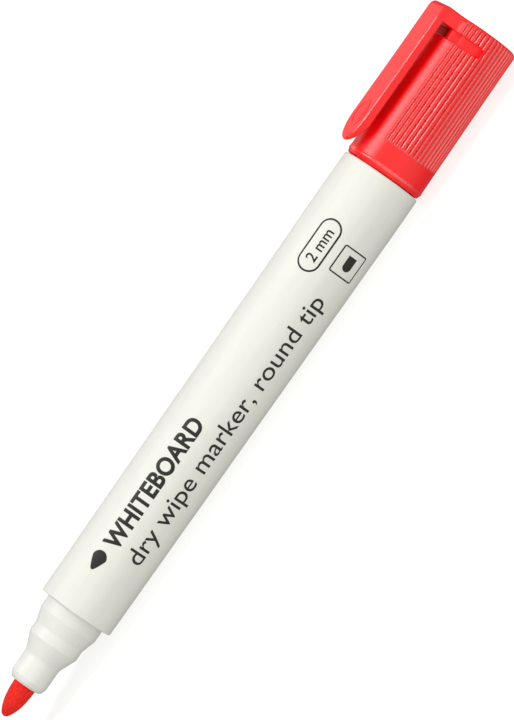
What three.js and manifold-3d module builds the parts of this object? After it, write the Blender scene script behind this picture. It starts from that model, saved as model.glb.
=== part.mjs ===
// Whiteboard marker, round-tip, with its cap posted on the rear end of the barrel.
//
// Units are millimetres. The marker lies along X on the plane z = 0: the nib points to -X, the cap's
// closed end to +X, and the pocket clip is on top (+Z). The origin is on the plane it lies on, below
// the middle of the marker's length. Along the axis, stations are given as a distance S from the nib's
// tip; x = S - LENGTH / 2. Turned pieces are regular prisms of SIDES faces with one face downwards, so
// coaxial pieces have their facets aligned and keep a small, even running gap.

import * as THREE from 'three';
import { mergeVertices } from 'three/addons/utils/BufferGeometryUtils.js';
import Module from 'manifold-3d';

const wasm = await Module();
wasm.setup();

// ---------------------------------------------------------------- driving dimensions
const LENGTH = 152.0;            // nib tip to cap end, cap posted
const SIDES = 40;                // faces round a turned piece
const GAP = 0.05;                // radial gap between pieces that press together

// nib: a rod of bonded fibres, bullet end forward, its rear end plugged into the ink reservoir
const NIB_R = 2.24;
const NIB_END_S = 38.2;

// front section: the stepped nose that holds the nib
const NOSE_S = 6.85;             // front face
const NOSE_R = 3.67;             // lower cylinder, the one the cap's inner seal closes on
const NOSE_MID_R = 5.09;
const NOSE_TOP_R = 5.91;
const NOSE_FLANGE_R = 6.34;      // shoulder behind the barrel's front lip
const NOSE_REAR_S = 31.0;

// barrel: a tapered tube with an inward lip in front
const BARREL_S0 = 23.0;
const BARREL_S1 = 119.8;
const BARREL_R0 = 7.45;
const BARREL_R1 = 7.95;
const BARREL_BORE0 = 6.40;
const BARREL_BORE1 = 6.70;
const BARREL_LIP = 1.2;

// ink reservoir: a fibre rod in a film sleeve
const RES_S0 = 31.6;
const RES_S1 = 106.5;
const RES_R = 5.55;
const WRAP_T = 0.15;

// end plug: closes the barrel's rear and carries the posted cap on its stub
const PLUG_S0 = 108.0;
const STUB_R = 5.90;
const STUB_S1 = 129.8;
const PLUG_WALL = 1.0;

// cap
const CAP_S0 = 120.3;            // open rim
const CAP_S1 = LENGTH;           // closed end
const CAP_R_RIM = 7.96;
const CAP_R_END = 7.60;
const CAP_BORE0 = 6.75;
const CAP_BORE1 = 6.35;
const CAP_FLOOR_S = 149.5;       // inside face of the end wall
const CAP_NECK_S = 146.6;        // the bore narrows here, behind the vent slot
const CAP_NECK_R = 5.30;
const CAP_RIBS = 6;              // inner ribs that grip the stub or the nose
const CAP_RIB_R = 5.96;          // radius of the ribs' inner faces
const CAP_RIB_LEN = 9.2;
const CAP_RIB_W = 1.1;

// grip grooves on the cap
const GROOVE_PITCH = 7.2;        // degrees, fifty to the turn
const GROOVE_FIRST = 43.2;       // degrees from the clip's middle to the first groove
const GROOVE_DEPTH = 0.32;
const GROOVE_W = 0.50;
const GROOVE_S0 = 125.3;

// vent slot round the clip side of the cap
const SLOT_S = 148.0;
const SLOT_H = 2.2;
const SLOT_DEPTH = 1.85;
const SLOT_HALF_ANGLE = 85;      // degrees from the clip's middle

// inner seal: a cup in the cap that closes on the nose's lower cylinder
const SEAL_S0 = 130.9;
const SEAL_BORE = 3.72;
const SEAL_R = 4.60;
const SEAL_FLOOR_S = 145.0;
const SEAL_STEM_R = 2.40;

// pocket clip
const CLIP_W = 6.4;
const CLIP_OUT = 10.5;           // outer face, from the marker's axis
const CLIP_T = 1.58;
const CLIP_TIP_S = 121.4;
const CLIP_ROOT_S = 149.1;       // the bridge to the cap starts here
const CLIP_SPLIT = 0.15;         // gap at the flexing root
const BOSS_S = 127.0;            // raised plain oval near the clip's tip
const BOSS_RX = 2.75;
const BOSS_RY = 2.0;
const BOSS_H = 0.12;

const AXIS_Z = CAP_R_RIM * Math.cos(Math.PI / SIDES);

// ---------------------------------------------------------------- materials
const material = (color, roughness) => new THREE.MeshStandardMaterial({ color, roughness, metalness: 0 });
const whitePlastic = material(0xecece6, 0.45);
const nosePlastic = material(0xf1f1ea, 0.42);
const redPlastic = material(0xf23a3c, 0.32);
const redFibre = material(0xd8221c, 0.95);
const inkFibre = material(0xb51a1e, 1.0);
const film = material(0xe4e2dc, 0.25);
const sealPlastic = material(0xe63538, 0.5);

// ---------------------------------------------------------------- solids
// a three.js geometry as a closed solid: shared vertices merged, collapsed triangles dropped
function solid(geometry) {
  const g = geometry.index ? geometry.toNonIndexed() : geometry.clone();
  for (const name of Object.keys(g.attributes)) if (name !== 'position') g.deleteAttribute(name);
  const merged = mergeVertices(g, 1e-4);
  const pos = merged.attributes.position;
  const src = merged.index.array;
  let tri = [];
  for (let i = 0; i < src.length; i += 3) {
    const [a, b, c] = [src[i], src[i + 1], src[i + 2]];
    if (a !== b && b !== c && c !== a) tri.push(a, b, c);
  }
  const A = new THREE.Vector3(), B = new THREE.Vector3(), C = new THREE.Vector3();
  let volume = 0;
  for (let i = 0; i < tri.length; i += 3) {
    A.fromBufferAttribute(pos, tri[i]);
    B.fromBufferAttribute(pos, tri[i + 1]);
    C.fromBufferAttribute(pos, tri[i + 2]);
    volume += A.dot(B.cross(C)) / 6;
  }
  if (volume < 0) for (let i = 0; i < tri.length; i += 3) [tri[i + 1], tri[i + 2]] = [tri[i + 2], tri[i + 1]];
  return new wasm.Manifold(new wasm.Mesh({
    numProp: 3,
    vertProperties: new Float32Array(pos.array),
    triVerts: new Uint32Array(tri),
  }));
}

function geometryOf(manifold) {
  const m = manifold.getMesh();
  const g = new THREE.BufferGeometry();
  g.setAttribute('position', new THREE.BufferAttribute(new Float32Array(m.vertProperties), 3));
  g.setIndex(new THREE.BufferAttribute(new Uint32Array(m.triVerts), 1));
  g.computeVertexNormals();
  return g;
}

// a turned solid: profile is a list of [S, radius] that starts and ends on the axis or closes on itself
function turned(profile, sides = SIDES) {
  const points = profile.map(([s, r]) => new THREE.Vector2(r, s));
  const g = new THREE.LatheGeometry(points, sides, Math.PI / sides, Math.PI * 2);
  g.rotateZ(-Math.PI / 2);
  return solid(g);
}

// a closed ring profile for turned(): outside from front to rear, then inside from rear to front
const ring = (outside, inside) => [...outside, ...inside, outside[0]];

// a quarter round from [s0, r0] to [s1, r1], bulging outwards and towards the given corner
function corner(s0, r0, s1, r1, n = 3) {
  const out = [];
  for (let i = 0; i <= n; i++) {
    const a = (i / n) * (Math.PI / 2);
    out.push(r1 > r0
      ? [s0 + (s1 - s0) * (1 - Math.cos(a)), r0 + (r1 - r0) * Math.sin(a)]
      : [s0 + (s1 - s0) * Math.sin(a), r0 + (r1 - r0) * (1 - Math.cos(a))]);
  }
  return out;
}

// a box between two corners, in stations and distances from the axis
function box(s0, s1, y0, y1, z0, z1) {
  const g = new THREE.BoxGeometry(s1 - s0, y1 - y0, z1 - z0);
  g.translate((s0 + s1) / 2, (y0 + y1) / 2, (z0 + z1) / 2);
  return solid(g);
}

// an outline in the side view, [S, height above the axis], extruded across the marker
function sidePlate(outline, halfWidth) {
  const g = new THREE.ExtrudeGeometry(new THREE.Shape(outline.map(([s, z]) => new THREE.Vector2(s, z))),
    { depth: 2 * halfWidth, bevelEnabled: false });
  g.rotateX(Math.PI / 2);
  g.translate(0, halfWidth, 0);
  return solid(g);
}

// an outline in the top view, [S, Y], extruded upwards
function topPlate(outline, z0, z1) {
  const g = new THREE.ExtrudeGeometry(new THREE.Shape(outline.map(([s, y]) => new THREE.Vector2(s, y))),
    { depth: z1 - z0, bevelEnabled: false });
  g.translate(0, 0, z0);
  return solid(g);
}

// an outline in the end view, [Y, height above the axis], extruded along the marker
function endPlate(outline, s0, s1) {
  const g = new THREE.ExtrudeGeometry(new THREE.Shape(outline.map(([y, z]) => new THREE.Vector2(y, z))),
    { depth: s1 - s0, bevelEnabled: false });
  g.applyMatrix4(new THREE.Matrix4().set(
    0, 0, 1, s0,
    1, 0, 0, 0,
    0, 1, 0, 0,
    0, 0, 0, 1));
  return solid(g);
}

// ---------------------------------------------------------------- nib
const nib = turned([
  [0, 0], [0.12, 0.28], [0.32, 0.52], [0.85, 0.95], [1.76, 1.42], [2.67, 1.76], [3.60, 1.96], [4.8, 2.12],
  [6.4, NIB_R], [36.2, NIB_R], [NIB_END_S, 1.1], [NIB_END_S, 0],
]);

// ---------------------------------------------------------------- front section
const nibBore = NIB_R + GAP;
const frontSection = turned(ring(
  [
    [NOSE_S, 2.85], ...corner(NOSE_S + 0.05, 3.0, 8.1, NOSE_R), [12.5, NOSE_R], [15.8, NOSE_MID_R],
    [17.8, NOSE_MID_R], [20.5, NOSE_TOP_R], [BARREL_S0 + BARREL_LIP + GAP, NOSE_TOP_R],
    [BARREL_S0 + BARREL_LIP + GAP, NOSE_FLANGE_R], [NOSE_REAR_S, NOSE_FLANGE_R],
  ],
  [[NOSE_REAR_S, 5.2], [22.5, 4.5], [20.0, nibBore], [NOSE_S, nibBore]],
));

// ---------------------------------------------------------------- barrel
const barrel = turned(ring(
  [
    ...corner(BARREL_S0, BARREL_R0 - 0.3, BARREL_S0 + 0.3, BARREL_R0),
    [37, 7.54], [74, 7.73], [110, BARREL_R1 - 0.01], [BARREL_S1 - 0.4, BARREL_R1],
    ...corner(BARREL_S1 - 0.4, BARREL_R1, BARREL_S1, BARREL_R1 - 0.4).slice(1),
  ],
  [
    [BARREL_S1, BARREL_BORE1], [BARREL_S0 + BARREL_LIP, BARREL_BORE0],
    [BARREL_S0 + BARREL_LIP, NOSE_TOP_R + GAP], [BARREL_S0, NOSE_TOP_R + GAP],
  ],
));

// ---------------------------------------------------------------- ink reservoir and its film
const nibSocket = NIB_R + GAP;
const inkReservoir = turned([
  [RES_S0, nibSocket], [RES_S0, RES_R], [RES_S1, RES_R], [RES_S1, 0], [NIB_END_S + 0.4, 0],
  [NIB_END_S + 0.4, nibSocket], [RES_S0, nibSocket],
]);
const reservoirWrap = turned(ring(
  [[RES_S0, RES_R + GAP + WRAP_T], [RES_S1, RES_R + GAP + WRAP_T]],
  [[RES_S1, RES_R + GAP], [RES_S0, RES_R + GAP]],
));

// ---------------------------------------------------------------- end plug
const plugR = (s) => BARREL_BORE0 + (BARREL_BORE1 - BARREL_BORE0) * (s - BARREL_S0 - BARREL_LIP)
  / (BARREL_S1 - BARREL_S0 - BARREL_LIP) - GAP;
const endPlug = turned([
  [PLUG_S0, plugR(PLUG_S0) - PLUG_WALL], [PLUG_S0, plugR(PLUG_S0) - 0.25], [PLUG_S0 + 0.8, plugR(PLUG_S0 + 0.8)],
  [BARREL_S1, plugR(BARREL_S1)], [BARREL_S1, STUB_R],
  [STUB_S1 - 0.8, STUB_R], [STUB_S1 - 0.25, STUB_R - 0.3], [STUB_S1, STUB_R - 0.9],
  [STUB_S1, 0], [STUB_S1 - PLUG_WALL, 0],
  [STUB_S1 - PLUG_WALL, STUB_R - PLUG_WALL], [BARREL_S1 - 1.5, STUB_R - PLUG_WALL],
  [BARREL_S1 - 2.2, plugR(PLUG_S0) - PLUG_WALL], [PLUG_S0, plugR(PLUG_S0) - PLUG_WALL],
]);

// ---------------------------------------------------------------- cap shell
const capR = (s) => {
  const table = [[121.1, CAP_R_RIM], [121.5, 7.95], [126.5, 7.85], [132, 7.75], [139, 7.66], [147, CAP_R_END], [152, CAP_R_END]];
  for (let i = 1; i < table.length; i++) if (s <= table[i][0]) {
    const [[s0, r0], [s1, r1]] = [table[i - 1], table[i]];
    return r0 + (r1 - r0) * (s - s0) / (s1 - s0);
  }
  return CAP_R_END;
};
const capBore = (s) => CAP_BORE0 + (CAP_BORE1 - CAP_BORE0) * (s - CAP_S0) / (CAP_FLOOR_S - CAP_S0);

// outside, with the bevelled rim and the rounded end
let capShell = turned([
  [CAP_S0, 0], [CAP_S0, 7.50], [CAP_S0 + 0.15, 7.64], [121.0, CAP_R_RIM], [121.4, CAP_R_RIM],
  [126.5, capR(126.5)], [132, capR(132)], [139, capR(139)], [147, capR(147)],
  ...corner(CAP_S1 - 1.0, CAP_R_END, CAP_S1, CAP_R_END - 1.0), [CAP_S1, 0],
]);

// bridge from the cap's end to the clip: side outline with the rounded shoulder, end outline with its flare
const shoulder = [];
for (let i = 0; i <= 4; i++) {
  const a = (i / 4) * Math.PI / 2;
  shoulder.push([CAP_S1 - 1.3 + 1.3 * Math.sin(a), CLIP_OUT - 1.3 + 1.3 * Math.cos(a)]);
}
const bridgeSide = sidePlate([[CLIP_ROOT_S, 5.5], [CLIP_ROOT_S, CLIP_OUT], ...shoulder, [CAP_S1, 5.5]], 6);
const bridgeEnd = endPlate([
  [-CLIP_W / 2, CLIP_OUT], [-CLIP_W / 2, 8.8], [-3.55, 7.9], [-4.2, 6.9], [-4.5, 5.9],
  [4.5, 5.9], [4.2, 6.9], [3.55, 7.9], [CLIP_W / 2, 8.8], [CLIP_W / 2, CLIP_OUT],
], CLIP_ROOT_S - 1, CAP_S1);
capShell = capShell.add(bridgeSide.intersect(bridgeEnd));

// the bore, with its six gripping ribs
const bore = turned([
  [CAP_S0 - 1, 0], [CAP_S0 - 1, capBore(CAP_S0) + 0.35], [CAP_S0, capBore(CAP_S0) + 0.35],
  [CAP_S0 + 0.35, capBore(CAP_S0 + 0.35)], [CAP_NECK_S, capBore(CAP_NECK_S)], [CAP_NECK_S, CAP_NECK_R],
  [CAP_FLOOR_S, CAP_NECK_R], [CAP_FLOOR_S, SEAL_STEM_R + GAP],
  [CAP_FLOOR_S + 1.2, SEAL_STEM_R + GAP], [CAP_FLOOR_S + 1.2, 0],
]);
capShell = capShell.subtract(bore);
const ribCore = turned([[CAP_S0, 0], [CAP_S0, CAP_RIB_R], [CAP_S1, CAP_RIB_R], [CAP_S1, 0]]);
for (let i = 0; i < CAP_RIBS; i++) {
  const g = new THREE.BoxGeometry(CAP_RIB_LEN, CAP_RIB_W, 1.9);
  g.translate(CAP_S0 + 0.9 + CAP_RIB_LEN / 2, 0, 6.15);
  g.rotateX((i * 2 * Math.PI) / CAP_RIBS + Math.PI / 6);
  capShell = capShell.add(solid(g).subtract(ribCore));
}

// grip grooves: V-shaped, running out to the cap's end and fading towards the rim
function groove(degrees) {
  const station = (s, rIn) => [[s, 0, rIn], [s, GROOVE_W * 0.85, 8.7], [s, -GROOVE_W * 0.85, 8.7]];
  const rows = [station(GROOVE_S0, 8.3), station(GROOVE_S0 + 1.4, capR(GROOVE_S0 + 1.4) - GROOVE_DEPTH),
    station(139, capR(139) - GROOVE_DEPTH), station(CAP_S1 + 1, CAP_R_END - GROOVE_DEPTH)].flat();
  const faces = [[0, 1, 2]];
  for (let k = 0; k < 3; k++) for (let j = 0; j < 3; j++) {
    const a = 3 * k + j, b = 3 * k + (j + 1) % 3;
    faces.push([a, a + 3, b], [b, a + 3, b + 3]);
  }
  faces.push([9, 11, 10]);
  const g = new THREE.BufferGeometry();
  g.setAttribute('position', new THREE.Float32BufferAttribute(rows.flat(), 3));
  g.setIndex(faces.flat());
  g.rotateX(THREE.MathUtils.degToRad(degrees));
  return solid(g);
}
const count = Math.floor((360 - 2 * GROOVE_FIRST) / GROOVE_PITCH + 1e-6);
for (let i = 0; i <= count; i++) capShell = capShell.subtract(groove(GROOVE_FIRST + i * GROOVE_PITCH));

// vent slot: a recess round the clip side, open right through below the clip
const slotRing = turned(ring(
  [[SLOT_S - SLOT_H / 2, 9.2], [SLOT_S + SLOT_H / 2, 9.2]],
  [[SLOT_S + SLOT_H / 2, CAP_R_END - SLOT_DEPTH], [SLOT_S - SLOT_H / 2, CAP_R_END - SLOT_DEPTH]],
));
const slotFloorZ = CAP_R_END * Math.cos(THREE.MathUtils.degToRad(SLOT_HALF_ANGLE));
capShell = capShell.subtract(slotRing.intersect(box(140, 155, -10, 10, slotFloorZ, 8.85)));
capShell = capShell.subtract(box(SLOT_S - SLOT_H / 2, SLOT_S + SLOT_H / 2, -2.6, 2.6, 4.4, 8.85));

// ---------------------------------------------------------------- inner seal
const innerSeal = turned([
  [SEAL_S0, SEAL_BORE + 0.35], [SEAL_S0, SEAL_R - 0.3], [SEAL_S0 + 0.6, SEAL_R], [SEAL_FLOOR_S + 1.0, SEAL_R],
  [SEAL_FLOOR_S + 1.6, SEAL_R - 0.8], [SEAL_FLOOR_S + 1.6, SEAL_STEM_R], [CAP_FLOOR_S + 1.0, SEAL_STEM_R],
  [CAP_FLOOR_S + 1.0, 0], [SEAL_FLOOR_S, 0], [SEAL_FLOOR_S, SEAL_BORE], [SEAL_S0 + 0.6, SEAL_BORE],
  [SEAL_S0, SEAL_BORE + 0.35],
]);

// ---------------------------------------------------------------- pocket clip
const clipIn = CLIP_OUT - CLIP_T;
const clipEnd = CLIP_ROOT_S - CLIP_SPLIT;
const clipSide = sidePlate([
  [clipEnd, clipIn], [126.2, clipIn], [124.2, clipIn + 0.1], [122.8, clipIn + 0.38], [121.8, clipIn + 0.75],
  [CLIP_TIP_S, clipIn + 1.0], [CLIP_TIP_S + 0.1, clipIn + 1.25], [122.1, CLIP_OUT - 0.08], [123.6, CLIP_OUT],
  [clipEnd, CLIP_OUT],
], 5);
const tip = [];
for (let i = 0; i <= 12; i++) {
  const a = -Math.PI / 2 + (i / 12) * Math.PI;
  tip.push([CLIP_TIP_S + 4.7 - 4.7 * Math.cos(a), -(CLIP_W / 2) * Math.sin(a)]);
}
const clipTop = topPlate([[clipEnd, CLIP_W / 2], ...tip, [clipEnd, -CLIP_W / 2]], 5, 12);
const boss = [];
for (let i = 0; i < 20; i++) {
  const a = (i / 20) * 2 * Math.PI;
  boss.push([BOSS_S + BOSS_RX * Math.cos(a), BOSS_RY * Math.sin(a)]);
}
const pocketClip = clipSide.intersect(clipTop).add(topPlate(boss, CLIP_OUT - 0.4, CLIP_OUT + BOSS_H));

// ---------------------------------------------------------------- assembly
const marker = new THREE.Group();
const onAxis = new THREE.Group();
onAxis.position.set(-LENGTH / 2, 0, AXIS_Z);
marker.add(onAxis);

function place(name, piece, mat, parent = onAxis) {
  const mesh = new THREE.Mesh(geometryOf(piece), mat);
  mesh.name = name;
  parent.add(mesh);
}

place('nib', nib, redFibre);
place('front_section', frontSection, nosePlastic);
place('barrel', barrel, whitePlastic);
place('ink_reservoir', inkReservoir, inkFibre);
place('reservoir_wrap', reservoirWrap, film);
place('end_plug', endPlug, redPlastic);
const capGroup = new THREE.Group();
onAxis.add(capGroup);
place('cap_shell', capShell, redPlastic, capGroup);
place('inner_seal', innerSeal, sealPlastic, capGroup);
place('pocket_clip', pocketClip, redPlastic, capGroup);

export default marker;
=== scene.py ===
# Whiteboard marker: the looks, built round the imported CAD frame.
import math

import bmesh
import bpy
import numpy as np
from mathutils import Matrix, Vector

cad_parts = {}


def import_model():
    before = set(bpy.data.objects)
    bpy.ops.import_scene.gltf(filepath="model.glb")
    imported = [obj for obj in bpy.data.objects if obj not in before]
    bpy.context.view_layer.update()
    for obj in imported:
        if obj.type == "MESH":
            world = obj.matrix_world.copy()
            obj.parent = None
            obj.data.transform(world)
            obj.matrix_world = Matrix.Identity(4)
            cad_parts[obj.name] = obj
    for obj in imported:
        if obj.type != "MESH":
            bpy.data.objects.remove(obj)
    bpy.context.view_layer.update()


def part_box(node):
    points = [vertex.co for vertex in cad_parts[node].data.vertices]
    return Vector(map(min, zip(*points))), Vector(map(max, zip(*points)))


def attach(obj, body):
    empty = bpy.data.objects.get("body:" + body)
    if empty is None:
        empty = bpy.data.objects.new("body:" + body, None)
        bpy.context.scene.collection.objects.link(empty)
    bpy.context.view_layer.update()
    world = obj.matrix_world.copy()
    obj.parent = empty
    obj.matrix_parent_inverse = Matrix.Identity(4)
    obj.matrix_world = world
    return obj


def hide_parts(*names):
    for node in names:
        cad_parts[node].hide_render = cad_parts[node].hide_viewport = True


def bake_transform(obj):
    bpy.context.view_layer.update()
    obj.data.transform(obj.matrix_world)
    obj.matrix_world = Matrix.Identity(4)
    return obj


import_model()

# ---------------------------------------------------------------- the frame in station coordinates
# S: millimetres along the axis from the nib's tip; Y, Z: millimetres from the axis.
_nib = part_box("nib")
_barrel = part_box("barrel")
_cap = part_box("cap_shell")
X0 = _nib[0].x
AXIS = (_nib[0].z + _nib[1].z) / 2
S_BARREL0 = (_barrel[0].x - X0) * 1000
S_BARREL1 = (_barrel[1].x - X0) * 1000
S_RIM = (_cap[0].x - X0) * 1000
S_END = (_cap[1].x - X0) * 1000
ELEV = 24.2  # how far the view looks down on the lying marker, in degrees


def world(p):
    """Station coordinates to the row frame, in metres."""
    p = np.asarray(p, float)
    out = np.empty_like(p)
    out[..., 0] = p[..., 0] / 1000 + X0
    out[..., 1] = p[..., 1] / 1000
    out[..., 2] = p[..., 2] / 1000 + AXIS
    return out


def smooth(a, b, x):
    t = np.clip((np.asarray(x, float) - a) / (b - a), 0, 1)
    return t * t * (3 - 2 * t)


# ---------------------------------------------------------------- mesh helpers
def make(name, verts_mm, faces, angle=38, weld=2e-7, check=True):
    """A mesh object from station coordinates, welded, closed and facing out, smooth but for edges sharper than angle."""
    me = bpy.data.meshes.new(name)
    me.from_pydata([tuple(v) for v in world(verts_mm)], [], [tuple(f) for f in faces])
    bm = bmesh.new()
    bm.from_mesh(me)
    bmesh.ops.remove_doubles(bm, verts=bm.verts, dist=weld)
    bmesh.ops.dissolve_degenerate(bm, edges=bm.edges, dist=weld)
    bmesh.ops.recalc_face_normals(bm, faces=bm.faces)
    open_edges = sum(1 for e in bm.edges if len(e.link_faces) != 2)
    if check and open_edges:
        print(f"NOTE {name}: {open_edges} edges don't have two faces")
    if bm.calc_volume(signed=True) < 0:
        bmesh.ops.reverse_faces(bm, faces=bm.faces)
    bm.to_mesh(me)
    bm.free()
    me.shade_smooth()
    me.set_sharp_from_angle(angle=math.radians(angle))
    ob = bpy.data.objects.new(name, me)
    bpy.context.scene.collection.objects.link(ob)
    return ob


def rounded(points, seg=7, hold=0.05):
    """A profile through [S, r, fillet radius] corners, with short straight runs beside each fillet so that shading stays clean."""
    out = []
    n = len(points)
    for i, pt in enumerate(points):
        s, r = pt[0], pt[1]
        f = pt[2] if len(pt) > 2 else 0
        p = np.array([s, r], float)
        if f <= 0 or i in (0, n - 1):
            out.append(p)
            continue
        a = np.array(points[i - 1][:2], float) - p
        b = np.array(points[i + 1][:2], float) - p
        la, lb = np.linalg.norm(a), np.linalg.norm(b)
        a, b = a / la, b / lb
        half = math.acos(np.clip(a @ b, -1, 1)) / 2
        if abs(half - math.pi / 2) < 1e-3:
            out.append(p)
            continue
        d = min(f / math.tan(half), la * 0.48, lb * 0.48)
        f = d * math.tan(half)
        mid = (a + b) / np.linalg.norm(a + b)
        c = p + mid * f / math.sin(half)
        t0, t1 = p + a * d, p + b * d
        v0, v1 = t0 - c, t1 - c
        ang = math.acos(np.clip(v0 @ v1 / (f * f), -1, 1))
        if la - d > 2.5 * hold:
            out.append(t0 + a * hold)
        for k in range(seg + 1):
            w = k / seg
            out.append(c + (math.sin((1 - w) * ang) * v0 + math.sin(w * ang) * v1) / math.sin(ang))
        if lb - d > 2.5 * hold:
            out.append(t1 + b * hold)
    return [tuple(q) for q in out]


def fill_long(profile, step):
    """Adds points so that no run of the profile is longer than step."""
    out = [profile[0]]
    for a, b in zip(profile[:-1], profile[1:]):
        k = max(1, int(math.ceil(math.hypot(b[0] - a[0], b[1] - a[1]) / step)))
        for j in range(1, k + 1):
            out.append((a[0] + (b[0] - a[0]) * j / k, a[1] + (b[1] - a[1]) * j / k))
    return out


def revolve(name, profile, n=192, closed=False, shape=None, **kw):
    """A turned body. closed: the profile closes on itself, and otherwise both of its ends are on the axis. shape(S, r, theta) may change the radius."""
    prof = np.array(profile, float)
    th = np.linspace(0, 2 * math.pi, n, endpoint=False)
    S = np.repeat(prof[:, 0:1], n, 1)
    R = np.repeat(prof[:, 1:2], n, 1)
    T = np.repeat(th[None, :], len(prof), 0)
    if shape is not None:
        R = shape(S, R, T)
    P = np.stack([S, -R * np.sin(T), R * np.cos(T)], -1).reshape(-1, 3)
    faces = []
    m = len(prof)
    for i in range(m if closed else m - 1):
        a, b = i * n, ((i + 1) % m) * n
        for j in range(n):
            k = (j + 1) % n
            faces.append((a + j, a + k, b + k, b + j))
    return make(name, P, faces, **kw)


# ---------------------------------------------------------------- materials
def new_material(name):
    m = bpy.data.materials.new(name)
    m.use_nodes = True
    nt = m.node_tree
    nt.nodes.clear()
    out = nt.nodes.new("ShaderNodeOutputMaterial")
    bsdf = nt.nodes.new("ShaderNodeBsdfPrincipled")
    nt.links.new(bsdf.outputs[0], out.inputs[0])
    return m, nt, bsdf


def mm_coords(nt, scale=(1, 1, 1)):
    """Object coordinates in millimetres, stretched by scale."""
    tc = nt.nodes.new("ShaderNodeTexCoord")
    mp = nt.nodes.new("ShaderNodeMapping")
    mp.inputs["Scale"].default_value = tuple(1000 * s for s in scale)
    nt.links.new(tc.outputs["Object"], mp.inputs["Vector"])
    return mp.outputs["Vector"]


def noise_tex(nt, vec, scale, detail=3, rough=0.55):
    n = nt.nodes.new("ShaderNodeTexNoise")
    n.inputs["Scale"].default_value = scale
    n.inputs["Detail"].default_value = detail
    n.inputs["Roughness"].default_value = rough
    nt.links.new(vec, n.inputs["Vector"])
    return n.outputs["Fac"]


def ramp(nt, fac, stops):
    r = nt.nodes.new("ShaderNodeValToRGB")
    el = r.color_ramp.elements
    while len(el) < len(stops):
        el.new(0.5)
    for e, (pos, col) in zip(el, stops):
        e.position = pos
        e.color = (*col, 1) if len(col) == 3 else col
    nt.links.new(fac, r.inputs["Fac"])
    return r.outputs["Color"]


def to_range(nt, fac, lo, hi, a=0.0, b=1.0):
    r = nt.nodes.new("ShaderNodeMapRange")
    r.inputs["From Min"].default_value = a
    r.inputs["From Max"].default_value = b
    r.inputs["To Min"].default_value = lo
    r.inputs["To Max"].default_value = hi
    nt.links.new(fac, r.inputs["Value"])
    return r.outputs["Result"]


def add_bumps(nt, bsdf, layers):
    """layers: (height socket, strength, distance in metres), chained."""
    last = None
    for h, strength, dist in layers:
        b = nt.nodes.new("ShaderNodeBump")
        b.inputs["Strength"].default_value = strength
        b.inputs["Distance"].default_value = dist
        nt.links.new(h, b.inputs["Height"])
        if last is not None:
            nt.links.new(last, b.inputs["Normal"])
        last = b.outputs["Normal"]
    nt.links.new(last, bsdf.inputs["Normal"])


def plastic(name, low, high, rough=(0.3, 0.38), spec=0.5, grain=0.25, wave=0.3, sss=0.0, sss_radius=(1, 1, 1),
            sss_scale=0.001, painted_glow=0.0, lit=None, ior=1.49):
    """Moulded plastic: faint flow clouding in the colour, fine texture from the mould, slow waviness of the skin.
    lit(nt): a mask of where light reaches; where it is low the colour is darkened and the emission dimmed, as painted
    shade.
    """
    m, nt, b = new_material(name)
    v = mm_coords(nt)
    flow = mm_coords(nt, (0.12, 0.8, 0.8))
    cloud = noise_tex(nt, flow, 0.7, 4, 0.6)
    col = ramp(nt, cloud, [(0.3, low), (0.72, high)])
    if lit is not None:
        mask = lit(nt)
        # painted shade: the colour is darkened where the mask says little light reaches
        mix = nt.nodes.new("ShaderNodeMix")
        mix.data_type = "RGBA"
        mix.blend_type = "MULTIPLY"
        mix.inputs["Factor"].default_value = 1.0
        nt.links.new(col, mix.inputs["A"])
        nt.links.new(ramp(nt, mask, [(0.0, (0.78, 0.50, 0.50)), (1.0, (1, 1, 1))]), mix.inputs["B"])
        col = mix.outputs["Result"]
    nt.links.new(col, b.inputs["Base Color"])
    nt.links.new(to_range(nt, noise_tex(nt, v, 2.3, 4, 0.6), rough[0], rough[1], 0.3, 0.7), b.inputs["Roughness"])
    fine = noise_tex(nt, v, 9.0, 3, 0.6)
    slow = noise_tex(nt, mm_coords(nt, (0.25, 1, 1)), 0.45, 2, 0.5)
    add_bumps(nt, b, [(slow, wave, 0.00012), (fine, grain, 0.000012)])
    b.inputs["Specular IOR Level"].default_value = spec
    b.inputs["IOR"].default_value = ior
    if sss > 0:
        b.inputs["Subsurface Weight"].default_value = sss
        b.inputs["Subsurface Radius"].default_value = sss_radius
        b.inputs["Subsurface Scale"].default_value = sss_scale
    if painted_glow > 0:  # painted light: a faint red emission that keeps the red bright where it is in shade
        b.inputs["Emission Color"].default_value = (1.0, 0.010, 0.012, 1)
        b.inputs["Emission Strength"].default_value = painted_glow
        if lit is not None:
            nt.links.new(to_range(nt, mask, 0.0, painted_glow), b.inputs["Emission Strength"])
    return m


def math_node(nt, op, a, b=0.0):
    n = nt.nodes.new("ShaderNodeMath")
    n.operation = op
    for sock, v in zip(n.inputs, (a, b)):
        if isinstance(v, (int, float)):
            sock.default_value = v
        else:
            nt.links.new(v, sock)
    return n.outputs[0]


def cap_lit(nt):
    """1 on the cap's open skin, 0 below the clip and in the slot, where little light reaches; there the colour is
    painted darker and the emission dimmed, as painted shade.
    """
    sep = nt.nodes.new("ShaderNodeSeparateXYZ")
    nt.links.new(mm_coords(nt), sep.inputs[0])
    y = math_node(nt, "ABSOLUTE", sep.outputs["Y"])
    z = math_node(nt, "SUBTRACT", sep.outputs["Z"], AXIS * 1000)
    theta = math_node(nt, "ARCTAN2", y, z)
    r = math_node(nt, "SQRT", math_node(nt, "ADD", math_node(nt, "MULTIPLY", y, y), math_node(nt, "MULTIPLY", z, z)))
    a = to_range(nt, theta, 0.0, 1.0, math.radians(18), math.radians(27))
    c = to_range(nt, r, 0.72, 1.0, 6.4, 7.3)
    root = to_range(nt, sep.outputs["X"], 0.0, 1.0, X0 * 1000 + 148.96, X0 * 1000 + 149.08)
    rim = to_range(nt, sep.outputs["X"], 0.0, 0.7, X0 * 1000 + 129.0, X0 * 1000 + 124.0)
    return math_node(nt, "MAXIMUM", math_node(nt, "MAXIMUM", math_node(nt, "MULTIPLY", a, c), root), rim)


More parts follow.
